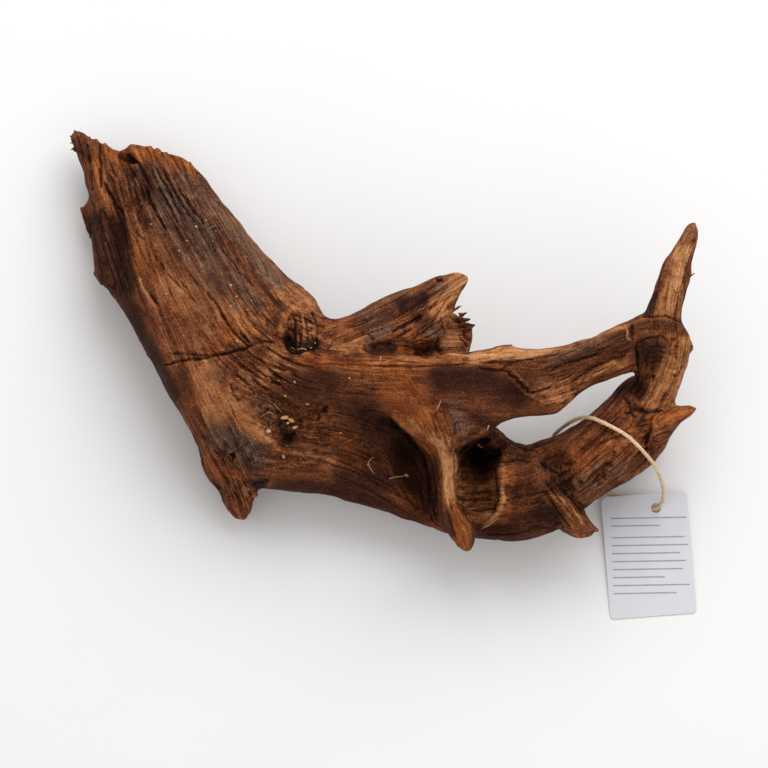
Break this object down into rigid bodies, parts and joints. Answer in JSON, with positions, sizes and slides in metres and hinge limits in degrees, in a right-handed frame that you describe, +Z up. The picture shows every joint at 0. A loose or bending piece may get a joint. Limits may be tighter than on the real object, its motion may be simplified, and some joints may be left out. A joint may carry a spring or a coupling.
{
  "type": "tusk wood root",
  "caption": "Weathered root of dark tusk wood with a broad grooved slab, a hollowed body, two arms that close into a loop, and broken spurs; a blank card tag hangs on twine.",
  "frame": {"origin": "on the floor under the middle of the root's bounding box", "axes": "+X along the root's length from the torn slab end to the arms, +Y across it from the feet to the torn end, +Z up from the floor it lies on"},
  "size_m": [0.3782, 0.2949, 0.1035],
  "materials": {
    "wood": "weathered, matt",
    "card": "smooth white card",
    "jute": "twisted natural fibre, matt"
  },
  "bodies": {
    "root": {"root": "wood", "tag": "card", "twine": "jute"}
  },
  "joints": []
}
